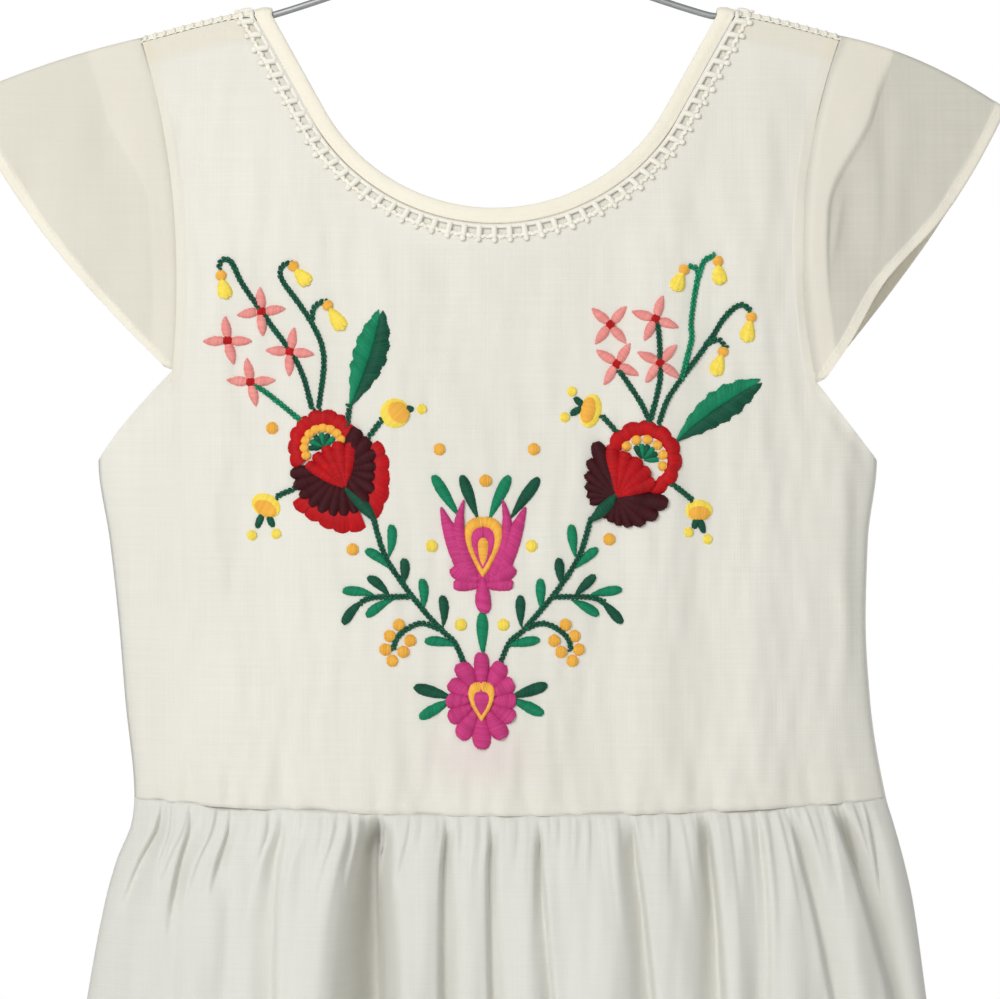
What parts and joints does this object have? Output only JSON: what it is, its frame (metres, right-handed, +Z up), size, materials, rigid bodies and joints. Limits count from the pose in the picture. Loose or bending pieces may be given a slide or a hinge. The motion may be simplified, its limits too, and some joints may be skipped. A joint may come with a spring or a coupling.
{
  "type": "peasant dress on a hanger",
  "caption": "Girl's scoop-necked cotton peasant dress with cap sleeves, embroidered bodice and gathered skirt, hanging open on a plain bent-rod hanger.",
  "frame": {"origin": "inside top of the hanger's hook, where it rests on a rail", "axes": "+Z up along the hook's stem, -Y out of the front of the dress, +X to the viewer's right"},
  "size_m": [0.4772, 0.1373, 0.8952],
  "materials": {
    "cotton_voile": "matte",
    "neck_binding": "matte",
    "ladder_lace": "matte",
    "embroidery_thread": "satin",
    "hanger_steel": "satin"
  },
  "bodies": {
    "root": {"bodice_front": "cotton_voile", "bodice_back": "cotton_voile", "skirt_front": "cotton_voile", "skirt_back": "cotton_voile", "sleeve_left": "cotton_voile", "sleeve_right": "cotton_voile", "shoulder_insert_left": "ladder_lace", "shoulder_insert_right": "ladder_lace", "neck_binding": "neck_binding", "neck_trim": "ladder_lace", "hanger_rod": "hanger_steel", "hanger_hook": "hanger_steel"}
  },
  "joints": []
}
